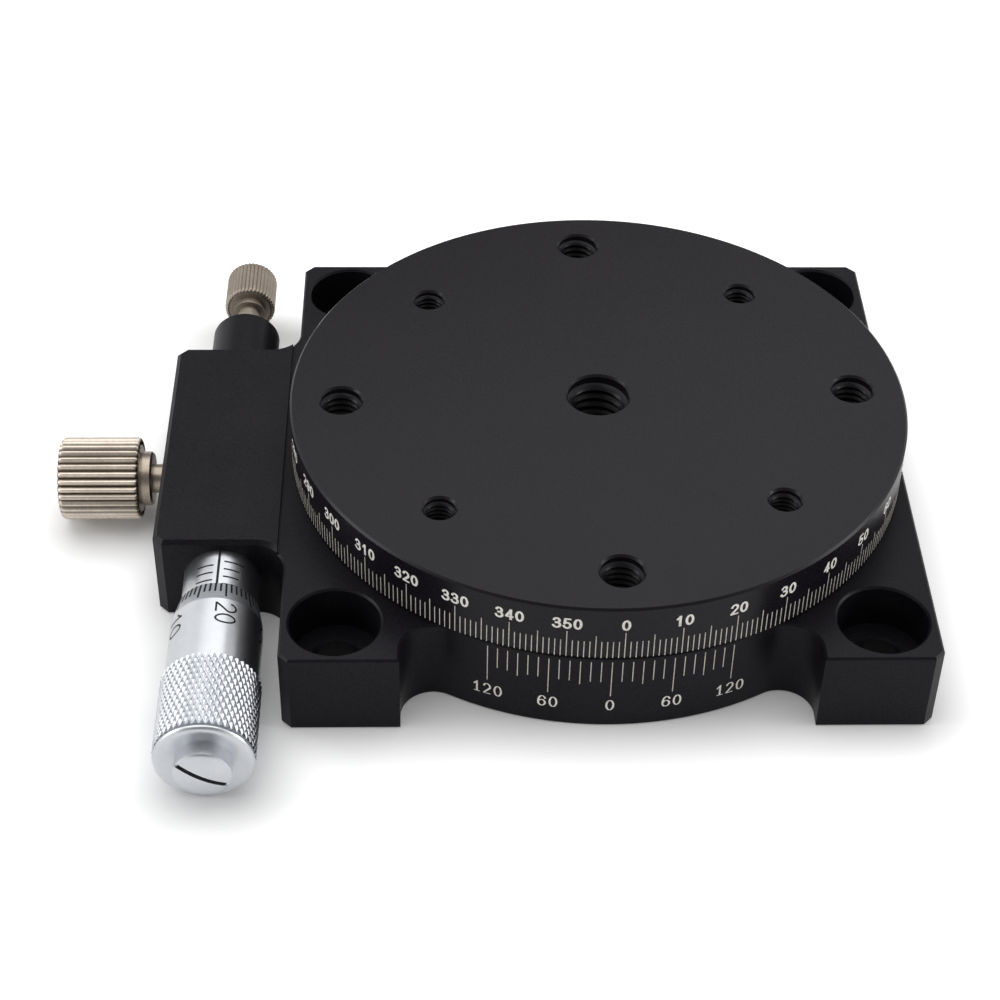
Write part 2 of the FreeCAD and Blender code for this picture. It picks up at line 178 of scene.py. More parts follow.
def combine(thing, tools, operation="DIFFERENCE"):
    made = []
    for bm in tools:
        bmesh.ops.recalc_face_normals(bm, faces=bm.faces)
        made.append(looseObject(bm))
    for tool in made:
        step = thing.modifiers.new(operation, "BOOLEAN")
        step.operation, step.solver, step.object = operation, "MANIFOLD", tool
    mesh = evaluated(thing)
    thing.modifiers.clear()
    thing.data = mesh
    for tool in made:
        bpy.data.objects.remove(tool)
    return thing


# Lays the local Z of a turned piece along a direction, from a starting point in millimetres
def laid(direction, x, y, z):
    columns = {"up": ((1, 0, 0), (0, 1, 0), (0, 0, 1)), "front": ((1, 0, 0), (0, 0, 1), (0, -1, 0)),
               "rear": ((1, 0, 0), (0, 0, -1), (0, 1, 0)), "left": ((0, 1, 0), (0, 0, -1), (-1, 0, 0))}
    turn = Matrix([Vector(c) for c in columns[direction]]).transposed().to_4x4()
    return Matrix.Translation((x, y, z)) @ turn


def placed(bm, matrix):
    bmesh.ops.transform(bm, matrix=matrix, verts=bm.verts)
    return bm


def finishPiece(name, mesh, material, body, slot, replaces=(), place=None, sharp=30):
    if place is not None:
        mesh.transform(place)
    mesh.transform(Matrix.Scale(mm, 4))
    mesh.materials.clear()
    mesh.materials.append(material)
    for face in mesh.polygons:
        face.material_index = 0
    mesh.shade_smooth()
    mesh.set_sharp_from_angle(angle=math.radians(sharp))
    mesh.name = name
    piece = linked(name, mesh)
    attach(piece, body)
    if replaces:
        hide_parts(*replaces)
    return piece


def finishThing(thing, name, *args, **more):
    mesh = thing.data
    bpy.data.objects.remove(thing)
    return finishPiece(name, mesh, *args, **more)


def finishTurned(name, profile, segments, *args, **more):
    return finishThing(looseObject(turnedMesh(profile, segments)), name, *args, **more)


# Geometry Nodes: a new tree with named inputs, its ending, and the mesh that it grows on some points
def newTree(name, inputs):
    tree = bpy.data.node_groups.new(name, "GeometryNodeTree")
    newSocket = tree.interface.new_socket
    newSocket("Geometry", in_out="INPUT", socket_type="NodeSocketGeometry")
    for label, value in inputs.items():
        kind = "NodeSocketInt" if isinstance(value, int) else "NodeSocketFloat"
        newSocket(label, in_out="INPUT", socket_type=kind).default_value = value
    newSocket("Geometry", in_out="OUTPUT", socket_type="NodeSocketGeometry")
    add = partial(addNode, tree)
    return tree, add, add("NodeGroupInput").outputs


def endTree(add, geometry, merge=0.0):
    real = add(realize, [geometry])
    if merge:
        real = add("GeometryNodeMergeByDistance", {"Geometry": real, "Distance": merge})
    add("NodeGroupOutput", [real])


def growMesh(tree, values, points=((0, 0, 0),)):
    seed = bpy.data.meshes.new("points")
    seed.from_pydata([tuple(p) for p in points], [], [])
    holder = linked("holder", seed)
    grow = holder.modifiers.new("Grow", "NODES")
    grow.node_group = tree
    for item in tree.interface.items_tree:
        if item.in_out == "INPUT" and item.name in values:
            grow[item.identifier] = values[item.name]
    mesh = evaluated(holder)
    bpy.data.objects.remove(holder)
    return mesh


# The point at a radius and an angle round Z, and at a height
def turnedPoint(add, radius, angle, height):
    cosine, sine = add("COSINE", [angle]), add("SINE", [angle])
    return add(combineXYZ, [add("MULTIPLY", [radius, cosine]), add("MULTIPLY", [radius, sine]), height])


# Rolls flat geometry on to a cylinder about Z: X is the angle in radians, Y runs along, Z stands out
def rollUp(add, flat, radius):
    x, y, z = add(separateXYZ, [add(inputPosition)]).outputs
    return add(setPosition, {"Geometry": flat, "Position": turnedPoint(add, add("ADD", [z, radius]), x, y)})


# A sheet 1 wide and 1 high, with the X and Y of its points
def unitSheet(add, columns, rows):
    sheet = add(meshGrid, {"Size X": 1.0, "Size Y": 1.0, "Vertices X": columns, "Vertices Y": rows})
    x, y, z = add(separateXYZ, [add(inputPosition)]).outputs
    return sheet, x, y


# Lines on a cylinder or cone about Z, one after another round it, with longer ones at intervals
def graduationTree():
    tree, add, given = newTree("Graduations", {
        "Count": 360, "Radius": 30.0, "Start": 9.0, "Side": 1.0, "Lean": 0.0, "First Angle": 0.0,
        "Step Angle": 1.0, "Long": 3.0, "Middle": 2.5, "Short": 2.0, "Long Every": 10,
        "Middle Every": 5, "Width": 0.12, "Depth": 0.02})
    row = add(meshLine, {"Count": given["Count"], "Offset": (0, 0, 0)})
    index = add("GeometryNodeInputIndex")
    lengths = given["Short"]
    for every, length in (("Middle Every", "Middle"), ("Long Every", "Long")):
        hit = add("LESS_THAN", [add("FLOORED_MODULO", [index, given[every]]), 0.5])
        lengths = add("GeometryNodeSwitch", {"Switch": hit, "False": lengths, "True": given[length]},
                      input_type="FLOAT")
    angle = add("RADIANS", [add("MULTIPLY_ADD", [index, given["Step Angle"], given["First Angle"]])])
    lean = add("RADIANS", [given["Lean"]])
    half = add("MULTIPLY", [add("MULTIPLY", [lengths, given["Side"]]), 0.5])
    radius = add("MULTIPLY_ADD", [half, add("SINE", [lean]), given["Radius"]])
    height = add("MULTIPLY_ADD", [half, add("COSINE", [lean]), given["Start"]])
    spread = add(setPosition, {"Geometry": row, "Position": turnedPoint(add, radius, angle, height)})
    bar = add("GeometryNodeMeshCube", [add(combineXYZ, [given["Depth"], given["Width"], 1.0])])
    lines = add(instances, {
        "Points": spread, "Instance": bar, "Rotation": add(combineXYZ, [0.0, lean, angle]),
        "Scale": add(combineXYZ, [1.0, 1.0, lengths])})
    endTree(add, lines)
    return tree


# Short lines across the sleeve: strips laid flat, then rolled on to it
def sleeveScaleTree():
    tree, add, given = newTree("Sleeve scale", {
        "Count": 3, "Radius": 3.2, "Start": 0.0, "Spacing": 1.0, "First Angle": 60.0,
        "Last Angle": 80.0, "Width": 0.1})
    first, last = given["First Angle"], given["Last Angle"]
    middle = add("RADIANS", [add("MULTIPLY", [add("ADD", [first, last]), 0.5])])
    span = add("RADIANS", [add("SUBTRACT", [last, first])])
    row = add(meshLine, {"Count": given["Count"], "Start Location": add(combineXYZ, [middle, given["Start"]]),
                         "Offset": add(combineXYZ, [0.0, given["Spacing"]])})
    strip = add(meshGrid, {"Size X": span, "Size Y": given["Width"], "Vertices X": 12, "Vertices Y": 2})
    flat = add(realize, [add(instances, {"Points": row, "Instance": strip})])
    endTree(add, rollUp(add, flat, given["Radius"]))
    return tree


# Diamond knurl: four-sided blunt points in staggered rows, rolled on to the cylinder and cut off at the ends
def diamondKnurlTree():
    tree, add, given = newTree("Diamond knurl", {
        "Around": 60, "Rows": 18, "Root Radius": 4.45, "Height": 0.14, "Start": 0.0, "End": 8.0})
    around, rows, tall, start, end = pick(given, "Around, Rows, Height, Start, End")
    row = add(meshLine, {"Count": add("MULTIPLY", [around, rows]), "Offset": (0, 0, 0)})
    index = add("GeometryNodeInputIndex")
    column = add("FLOORED_MODULO", [index, around])
    line = add("FLOOR", [add("DIVIDE", [add("ADD", [index, 0.5]), around])])
    across = add("MULTIPLY_ADD", [add("FLOORED_MODULO", [line, 2.0]), 0.5, column])
    pitch = add("DIVIDE", [2 * math.pi, around])
    step = add("DIVIDE", [add("SUBTRACT", [end, start]), add("SUBTRACT", [rows, 1.0])])
    spot = add(combineXYZ, [add("MULTIPLY", [across, pitch]), add("MULTIPLY_ADD", [line, step, start])])
    spread = add(setPosition, {"Geometry": row, "Position": spot})
    point = add("GeometryNodeMeshCone", {"Vertices": 4, "Side Segments": 3, "Radius Top": 0.0,
                                         "Radius Bottom": 1.0, "Depth": 1.0}, fill_type="NONE")
    size = add(combineXYZ, [add("MULTIPLY", [pitch, 0.5]), step, tall])
    flat = add(realize, [add(instances, {"Points": spread, "Instance": point, "Scale": size})])
    x, y, z = add(separateXYZ, [add(inputPosition)]).outputs
    inside = add("MINIMUM", [add("MAXIMUM", [y, start]), end])
    left = add("SUBTRACT", [1.0, add("DIVIDE", [z, tall])])
    blunt = add("MULTIPLY", [tall, add("SUBTRACT", [1.0, add("MULTIPLY", [left, left])])])
    trimmed = add(setPosition, {"Geometry": flat, "Position": add(combineXYZ, [x, inside, blunt])})
    endTree(add, rollUp(add, trimmed, given["Root Radius"]), merge=0.002)
    return tree


# Straight knurl: one sheet rolled into a tube, with rounded ribs and rounded ends
def straightKnurlTree():
    tree, add, given = newTree("Straight knurl", {
        "Ribs": 32, "Radius": 3.95, "Groove": 0.25, "Sharpness": 2.4, "Start": 0.0, "End": 7.8,
        "Start Round": 0.35, "End Round": 0.6, "Steps": 22})
    sheet, x, y = unitSheet(add, add("MULTIPLY_ADD", [given["Ribs"], 10.0, 1.0]), given["Steps"])
    u, v = add("ADD", [x, 0.5]), add("ADD", [y, 0.5])
    # v is spread so that both ends get more rows than the middle
    spread = add(mapRange, {"Value": v}, interpolation_type="SMOOTHERSTEP")
    length = add("SUBTRACT", [given["End"], given["Start"]])
    along = add("MULTIPLY_ADD", [spread, length, given["Start"]])
    phase = add("FRACT", [add("MULTIPLY_ADD", [u, given["Ribs"], 0.0001])])
    off = add("ABSOLUTE", [add("MULTIPLY_ADD", [phase, 2.0, -1.0])])
    dip = add("MULTIPLY", [add("POWER", [off, given["Sharpness"]]), given["Groove"]])
    radius = add("SUBTRACT", [given["Radius"], dip])
    for edge, sign in (("Start", 1.0), ("End", -1.0)):
        bend = given[edge + " Round"]
        depth = add("MULTIPLY", [add("SUBTRACT", [along, given[edge]]), sign])
        share = add("MINIMUM", [add("DIVIDE", [depth, bend]), 1.0])
        miss = add("POWER", [add("SUBTRACT", [1.0, share]), 2.0])
        rest = add("MAXIMUM", [add("SUBTRACT", [1.0, miss]), 0.0])
        drop = add("SUBTRACT", [1.0, add("SQRT", [rest])])
        radius = add("SUBTRACT", [radius, add("MULTIPLY", [bend, drop])])
    angle = add("MULTIPLY", [u, 2 * math.pi])
    flat = add(setPosition, {"Geometry": sheet, "Position": add(combineXYZ, [angle, along, radius])})
    endTree(add, rollUp(add, flat, 0.0), merge=0.0005)
    return tree


# Internal thread: a ridge wound down the wall of each hole whose mouth is one of the points
def threadTree():
    tree, add, given = newTree("Internal thread", {
        "Radius": 3.0, "Pitch": 1.0, "Depth": 0.55, "Turns": 5, "Segments": 36})
    turns = given["Turns"]
    sheet, x, y = unitSheet(add, add("MULTIPLY_ADD", [turns, given["Segments"], 1.0]), 5)
    u = add("MULTIPLY", [add("ADD", [x, 0.5]), turns])
    off = add("ABSOLUTE", [add("MULTIPLY", [y, 2.0])])
    rise = add("MINIMUM", [add("MULTIPLY_ADD", [off, -1.35, 1.35]), 1.0])
    near = add("MINIMUM", [u, add("SUBTRACT", [turns, u])])
    fade = add("MULTIPLY", [near, 3.0], use_clamp=True)
    depth = add("MULTIPLY", [add("MULTIPLY", [rise, fade]), given["Depth"]])
    radius = add("SUBTRACT", [given["Radius"], depth])
    angle = add("MULTIPLY", [u, -2 * math.pi])
    drop = add("SUBTRACT", [add("MULTIPLY", [y, 0.92]), u])
    height = add("MULTIPLY", [drop, given["Pitch"]])
    flat = add(setPosition, {"Geometry": sheet, "Position": add(combineXYZ, [angle, height, radius])})
    endTree(add, add(instances, {"Points": given["Geometry"], "Instance": rollUp(add, flat, 0.0)}))
    return tree


# Screw heads with a hexagon socket, one on each point
def socketScrewTree():
    tree, add, given = newTree("Socket screws", {
        "Head Radius": 1.75, "Foot Radius": 1.0, "Head Height": 0.75, "Socket": 0.62, "Socket Depth": 0.5})
    cone = add("GeometryNodeMeshCone", {"Vertices": 48, "Radius Top": given["Foot Radius"],
                                        "Radius Bottom": given["Head Radius"], "Depth": given["Head Height"]})
    deep = add("MULTIPLY", [given["Socket Depth"], 2.0])
    hexagon = add("GeometryNodeMeshCylinder", {"Vertices": 6, "Radius": given["Socket"], "Depth": deep})
    screw = add("GeometryNodeMeshBoolean", {"Mesh 1": cone, "Mesh 2": hexagon},
                operation="DIFFERENCE", solver="EXACT")
    endTree(add, add(instances, {"Points": given["Geometry"], "Instance": screw}))
    return tree


# Digits as pen strokes in a box 1 wide and 1 high: corners, and arcs (x, y, radius x, radius y, from, to)
digitStrokes = {
    "0": [[(0.5, 0.5, 0.5, 0.5, 90, 450)]],
    "1": [[(0.6, 0), (0.6, 1)], [(0.6, 0.96), (0.16, 0.72)]],
    "2": [[(0.5, 0.71, 0.48, 0.29, 168, -32), (0.05, 0.05)], [(0, 0), (1, 0)]],
    "3": [[(0.46, 0.755, 0.42, 0.245, 165, -90)], [(0.46, 0.265, 0.52, 0.265, 90, -165)],
          [(0.34, 0.52), (0.5, 0.52)]],
    "4": [[(0.72, 0), (0.72, 1)], [(0.7, 0.95), (0.03, 0.3)], [(0, 0.27), (1, 0.27)]],
    "5": [[(0.9, 1), (0.18, 1)], [(0.18, 0.98), (0.08, 0.5)], [(0.46, 0.3, 0.52, 0.3, 138, -165)]],
    "6": [[(0.5, 0.3, 0.5, 0.3, 90, 450)], [(0.56, 0.43, 0.56, 0.57, 180, 35)]],
    "7": [[(0, 1), (1, 1)], [(0.97, 0.96), (0.34, 0)]],
    "8": [[(0.5, 0.76, 0.42, 0.24, 90, 450)], [(0.5, 0.265, 0.5, 0.265, 90, 450)]]}
digitStrokes["9"] = [[tuple(1 - v for v in part) if len(part) == 2 else
                      (1 - part[0], 1 - part[1], part[2], part[3], part[4] + 180, part[5] + 180)
                      for part in stroke] for stroke in digitStrokes["6"]]


# One pen stroke as a slab: the pen is broad on upright runs and may be thinner on level ones
def penStroke(stroke, face):
    thick, thin, wide = face["thick"], face["thin"], face["width"]
    points = []
    for part in stroke:
        points += [part] if len(part) == 2 else arcPoints(
            part[0], part[1], part[2], part[4], part[5], face["steps"], part[3])
    closed = (Vector(points[0]) - Vector(points[-1])).length < 1e-6
    if closed:
        points.pop()
    points = [Vector((thick / 2 + x * (wide - thick), thin / 2 + y * (1 - thin))) for x, y in points]
    count = len(points)
    ways = [(points[(i + 1) % count] - points[i]).normalized() for i in range(count)]
    bm = bmesh.new()
    rows = []
    for i, point in enumerate(points):
        first, last = i == 0 and not closed, i == count - 1 and not closed
        before, after = (ways[i] if first else ways[i - 1]), (ways[i - 1] if last else ways[i])
        along = (before + after).normalized()
        half = (thin + (thick - thin) * abs(along.y)) / 2
        side = Vector((-along.y, along.x)) * half / max(0.4, along.dot(after))
        spot = point + along * (thin / 2 * (last - first))
        rows.append([bm.verts.new((*(spot + side * s), z)) for s, z in ((1, 0), (-1, 0), (-1, 1), (1, 1))])
    for i in range(count if closed else count - 1):
        a, b = rows[i], rows[(i + 1) % count]
        for k in range(4):
            bm.faces.new((a[k], a[(k + 1) % 4], b[(k + 1) % 4], b[k]))
    if not closed:
        bm.faces.new(rows[0])
        bm.faces.new(rows[-1])
    bmesh.ops.recalc_face_normals(bm, faces=bm.faces)
    return bm


# The digits of one lettering, each a flat outline filled with faces
def cutDigits(face, digits):
    made = {}
    for digit in digits:
        strokes = digitStrokes[digit] + ([[(0.2, 0), (1.0, 0)]] if digit == "1" and face["foot"] else [])
        slabs = [penStroke(stroke, face) for stroke in strokes]
        solid = looseObject(slabs[0])
        if slabs[1:]:
            combine(solid, slabs[1:], "UNION")
        bm = opened(solid.data)
        bpy.data.objects.remove(solid)
        bm.normal_update()
        bmesh.ops.delete(bm, geom=[f for f in bm.faces if f.normal.z < 0.5], context="FACES")
        for vert in bm.verts:
            vert.co.z = 0
        bmesh.ops.dissolve_limit(bm, angle_limit=0.001, verts=bm.verts, edges=bm.edges)
        bmesh.ops.triangulate(bm, faces=bm.faces)
        made[digit] = meshFrom(bm, "digit")
    return made


# Rolls a flat number, centred on X, on to a cylinder. across: it reads round it, otherwise along Z
def rolledNumber(mesh, radius, degrees, height, across, tall):
    bm = opened(mesh)
    axis = Vector((1, 0, 0)) if across else Vector((0, 1, 0))
    span = [v.co.dot(axis) for v in bm.verts]
    spacing = 0.25
    cut = min(span) + spacing
    while cut < max(span) and radius < 10:
        bmesh.ops.bisect_plane(bm, geom=bm.verts[:] + bm.edges[:] + bm.faces[:], plane_co=axis * cut,
                               plane_no=axis)
        cut += spacing
    for v in bm.verts:
        turn, along = (v.co.x, v.co.y) if across else (-(v.co.y - tall / 2), v.co.x)
        angle = math.radians(degrees) + turn / radius
        v.co = (radius * math.cos(angle), radius * math.sin(angle), height + along)
    return meshFrom(bm, "rolled")


# Numbers on a cylinder, as pairs of digits and degrees: they stand on their foot, or run along Z from it
def numberRing(face, numbers, radius, foot, across=True):
    height, step = face["height"], face["width"] + face["gap"]
    digits = cutDigits(face, sorted(set("".join(words for words, degrees in numbers))))
    rolled = []
    for words, degrees in numbers:
        wide = len(words) * step - face["gap"]
        parts = []
        for i, digit in enumerate(words):
            parts.append(digits[digit].copy())
            parts[-1].transform(Matrix.Scale(height, 4) @ Matrix.Translation((i * step - wide / 2, 0, 0)))
        middle = foot if across else foot + height * wide / 2
        rolled.append(rolledNumber(joinMeshes(parts), radius, degrees, middle, across, height))
    return joinMeshes(rolled)


# A material with a Principled shader that reads Object coordinates
def newMaterial(name, values):
    material = bpy.data.materials.new(name)
    material.use_nodes = True
    tree = material.node_tree
    tree.nodes.clear()
    add = partial(addNode, tree)
    place = add("ShaderNodeTexCoord").outputs["Object"]
    shader = add("ShaderNodeBsdfPrincipled", values)
    add("ShaderNodeOutputMaterial", [shader])
    return material, add, place, shader


# Gives a colour ramp its two ends, and its roughness and bump to the shader
def colourAndRelief(add, shader, mix, colors, stops, fine, roughness, spread, bump, depth):
    ramp = add("ShaderNodeValToRGB", [mix])
    for element, stop, color in zip(ramp.color_ramp.elements, stops, colors):
        element.position, element.color = stop, hexColor(color)
    rough = add(mapRange, [fine, 0.3, 0.7, roughness - spread, roughness + spread])
    links = [("Base Color", ramp), ("Roughness", rough)]
    if bump:
        relief = add("ShaderNodeBump", {"Strength": bump, "Distance": depth * mm, "Height": fine})
        links.append(("Normal", relief))
    for socket, source in links:
        shader.id_data.links.new(source.outputs[0], shader.inputs[socket])


# Blasted black anodised aluminium: a soft dark sheen, with tiny pits that catch the light as specks
def blastedAnodise(name, dark, light, grain, roughness, specular, bump):
    material, add, place, shader = newMaterial(name, {"Metallic": 0.0, "Specular IOR Level": specular})
    pits = add(noise, {"Vector": place, "Scale": 1 / (grain * mm), "Detail": 3.0, "Roughness": 0.65})
    clouds = add(noise, {"Vector": place, "Scale": 1 / (9 * mm), "Detail": 2.0})
    mix = add("MULTIPLY_ADD", [pits, 0.8, add("MULTIPLY", [clouds, 0.2])])
    colourAndRelief(add, shader, mix, (dark, light), (0.36, 0.68), pits, roughness, 0.07, bump, 0.02)
    return material


# Worked metal: a grain of one size, or drawn out into lines by a tool, and slight changes of tone
def workedMetal(name, color, tone, roughness, grain, bump):
    material, add, place, shader = newMaterial(name, {"Metallic": 1.0})
    stretch = [1 / (size * mm) for size in (grain if isinstance(grain, tuple) else [grain] * 3)]
    lines = add(noise, {"Vector": add("ShaderNodeMapping", {"Vector": place, "Scale": stretch}),
                        "Scale": 1.0, "Detail": 3.0, "Roughness": 0.6})
    spots = add(noise, {"Vector": place, "Scale": 1 / (2.5 * mm), "Detail": 3.0})
    blend = add("MULTIPLY", [lines, spots])
    colourAndRelief(add, shader, blend, (tone, color), (0.15, 0.35), lines, roughness, 0.008, bump, 0.01)
    return material


# Painted shade: darkens a knurled metal towards the bottom of its grooves, by the distance from the knob's
# axis
def shadeGrooves(material, across, centre, root, crest, dark):
    tree = material.node_tree
    add = partial(addNode, tree)
    shader = next(node for node in tree.nodes if node.type == "BSDF_PRINCIPLED")
    place = add("ShaderNodeTexCoord").outputs["Object"]
    off = add(vectorMaths, [place, tuple(v * mm for v in centre)], operation="SUBTRACT")
    flat = add(vectorMaths, [off, across], operation="MULTIPLY")
    reach = add(vectorMaths, [flat], operation="LENGTH").outputs["Value"]
    deep = add(mapRange, [reach, root * mm, crest * mm, 1.0, 0.0])
    color = shader.inputs["Base Color"].links[0].from_socket
    mix = add("ShaderNodeMix", {"Factor": deep}, data_type="RGBA")
    for source, socket in ((color, mix.inputs["A"]), (mix.outputs["Result"], shader.inputs["Base Color"])):
        tree.links.new(source, socket)
    mix.inputs["B"].default_value = hexColor(dark)


# Paint or resin: matt, with an uneven tone where it is thin
def mattFill(name, color, worn, roughness):
    material, add, place, shader = newMaterial(name, {"Specular IOR Level": 0.3})
    patch = add(noise, {"Vector": place, "Scale": 1 / (0.35 * mm), "Detail": 2.0})
    colourAndRelief(add, shader, patch, (worn, color), (0.3, 0.5), patch, roughness, 0.07, 0.3, 0.01)
    return material


baseAnodise = blastedAnodise("blastedBlackAnodise", "#070609", "#232027", 0.13, 0.36, 0.12, 0.5)
tableAnodise = blastedAnodise("fineBlackAnodise", "#131115", "#1e1a21", 0.07, 0.27, 0.18, 0.2)
coverAnodise = blastedAnodise("sheetBlackAnodise", "#0e0e10", "#1c1c1f", 0.15, 0.38, 0.15, 0.3)
satinChrome = workedMetal("satinChrome", "#d6d8dc", "#d0d3d7", 0.30, 0.6, 0.0)
bevelChrome = workedMetal("bevelChrome", "#ced2d8", "#c2c6cc", 0.4, 0.25, 0.0)
knurlChrome = workedMetal("knurlChrome", "#dcdee3", "#cfd2d8", 0.26, 0.5, 0.05)
# Painted shade: the thumbscrew's nickel plate made darker for its collar and shank
shadedCollarNickel = workedMetal("shadedCollarNickel", "#b3a79a", "#9f9386", 0.32, 0.3, 0.1)
# The preload knob's nickel plate: a rougher finish, and a darker colour that is painted shade
dullShadedNickel = workedMetal("dullShadedNickel", "#a59b90", "#93887c", 0.48, 0.3, 0.2)
bearingSteel = workedMetal("groundBearingSteel", "#a9abb0", "#8d9095", 0.22, (25, 25, 0.08), 0.2)
machinedAluminium = workedMetal("machinedAluminium", "#c4c5c8", "#aeb0b4", 0.34, (25, 25, 0.16), 0.4)
brass = workedMetal("bareBrass", "#c9a15a", "#a98242", 0.32, (25, 25, 0.16), 0.3)
springWire = workedMetal("springWire", "#8b8d92", "#6f7176", 0.3, 0.3, 0.2)
blackSteel = workedMetal("blackenedSteel", "#2a2a2d", "#1b1b1e", 0.38, 0.3, 0.2)
resin = mattFill("mouldedResin", "#d8ceb0", "#c8bd9c", 0.5)
lineFill = mattFill("creamLineFill", "#ded9ce", "#bdb8ad", 0.7)
numberFill = mattFill("creamNumberFill", "#faf7f0", "#e6e3da", 0.7)
blackFill = mattFill("blackFill", "#101012", "#232325", 0.6)

hidden = (
    (bearingSteel, "outer_race, inner_race, bearing_rollers, arm_pads, spindle, spindle_ball, plunger_pin"),
    (bearingSteel, "spring_seat"), (machinedAluminium, "rotor_hub, tangent_arm"), (resin, "bearing_spacers"),
    (blackSteel, "hub_screws"), (brass, "clamp_shoe"), (springWire, "return_spring"))
for material, nodes in hidden:
    for node in pick(frame["nodes"], nodes):
        node.data.materials.clear()
        node.data.materials.append(material)
print("materials made")


# Base: the square with its ears and round boss, and the raised block for the micrometer
base = {"half": 30.0, "height": 8.8, "bossRadius": 29.8, "earInner": 19.1, "earCorner": 0.9,
        "scallop": 3.0, "edge": 0.2, "bottomEdge": 0.15, "blockLeft": -42.5, "blockHalf": 14.9,
        "blockHeight": 9.3, "blockCorner": 0.9, "blockEdge": 0.4, "stepX": -30.7, "boltAt": 25.0,
        "boltRadius": 2.25, "counterbore": 4.2, "counterboreFloor": 4.2, "mouth": 0.2,
        "chamber": 19.4, "raceRadius": 22.0, "raceLow": 6.5, "channelHalf": 6.43, "pocketLeft": -41.3,
        "pocketHalf": 9.8, "pocketRoof": 8.1, "coverRadius": 23.5, "coverTop": 1.0, "wingLeft": -41.77,
        "wingHalf": 11.2, "stem": 3.0, "grub": 1.25, "grubY": -12.9, "slotHalf": 1.8,
        "slotEnds": (3.748, -3.914)}
micrometer = {"x": -36.15, "z": 4.65}
clampZ = 4.3


def baseOutline():
    half, boss, inner, scallop = base["half"], base["bossRadius"], base["earInner"], base["scallop"]
    flat = half - base["earCorner"]
    cx = inner - scallop
    cy = math.sqrt((boss + scallop) ** 2 - cx ** 2)
    lean = math.degrees(math.atan2(cy, cx))
    front = [(-half, -flat), (-flat, -half), (-inner, -half)]
    front += arcPoints(-cx, -cy, scallop, 180, lean, 20)
    front += arcPoints(0, 0, boss, lean - 180, -lean, 100)[1:-1]
    front += arcPoints(cx, -cy, scallop, 180 - lean, 0, 20) + [(inner, -half), (flat, -half), (half, -flat)]
    return front + [(-x, -y) for x, y in front]


def blockOutline():
    half, left, corner, r = base["blockHalf"], base["blockLeft"], base["blockCorner"], base["scallop"]
    cx, cy = -base["half"] - r, half + r
    wall = [(left + corner, half), (left, half - corner), (left, corner - half), (left + corner, -half)]
    return arcPoints(cx, cy, r, 0, -90, 16) + wall + arcPoints(cx, -cy, r, 90, 0, 16)


# An upright cutter, turned on steps that are (height, radius)
def holeTool(x, y, steps, segments=64):
    profile = [(steps[0][0], 0)] + steps + [(steps[-1][0], 0)]
    return placed(turnedMesh(profile, segments), laid("up", x, y, 0))


top, mouth, low, floor = pick(base, "height, mouth, raceLow, counterboreFloor")
chamber, race, stepX, coverTop = pick(base, "chamber, raceRadius, stepX, coverTop")
body = looseObject(prismMesh(baseOutline() + blockOutline(), 0, top, base["edge"], base["bottomEdge"]))
raised = looseObject(prismMesh(insetLoop(blockOutline(), 0.004), 2, base["blockHeight"], base["blockEdge"]))
combine(raised, [boxMesh(stepX, -20, 25, top - base["edge"] - 0.01, top + 3)])
step = opened(raised.data)
bpy.data.objects.remove(raised)
combine(body, [step], "UNION")
# The cutters reach past the faces that they open
cutters = [discMesh(chamber, 0.5, low + 0.1),
           turnedMesh([(low, 0), (low, race), (top - mouth, race), (top + 0.4, race + 0.6), (top + 0.4, 0)],
                      160),
           boxMesh(stepX - 1, 2 - chamber, base["channelHalf"], 0.5, low),
           boxMesh(base["pocketLeft"], stepX - 0.3, base["pocketHalf"], 0.4, base["pocketRoof"]),
           discMesh(base["coverRadius"], -1, coverTop),
           boxMesh(base["wingLeft"], -chamber, base["wingHalf"], -1, coverTop)]
r, wide = base["boltRadius"], base["counterbore"]
bolt = [(-1, r + mouth + 1), (mouth, r), (floor - mouth, r), (floor + 0.001, r + mouth)]
sunk = [(floor, wide), (top - mouth, wide), (top + 1, wide + mouth + 1)]
for x in (-base["boltAt"], base["boltAt"]):
    for y in (-base["boltAt"], base["boltAt"]):
        cutters += [holeTool(x, y, bolt), holeTool(x, y, sunk, 80)]
mx, mz, stem = micrometer["x"], micrometer["z"], base["stem"]
for end, y in (("front", -9.9), ("rear", 9.9)):
    cutters.append(placed(turnedMesh([(-6, 0), (-6, stem), (5.3, stem), (5.3, 0)], 64), laid(end, mx, y, mz)))
grubHole = [(-1, 2.4), (0.15, base["grub"]), (4.5, base["grub"])]
cutters.append(holeTool(mx, base["grubY"], grubHole, 40))
half, (slotHigh, slotLow) = base["slotHalf"], base["slotEnds"]
slot = arcPoints(slotHigh, clampZ, half, -90, 90, 16) + arcPoints(slotLow, clampZ, half, 90, 270, 16)
intoBlock = Matrix(((0, 0, -1, -41), (1, 0, 0, 0), (0, 1, 0, 0), (0, 0, 0, 1)))
cutters.append(placed(prismMesh(slot, -1, 2.2), intoBlock))
combine(body, cutters)
finishThing(body, "baseBody", baseAnodise, "base", "black_anodised", replaces=["base_body"])
print("base made")


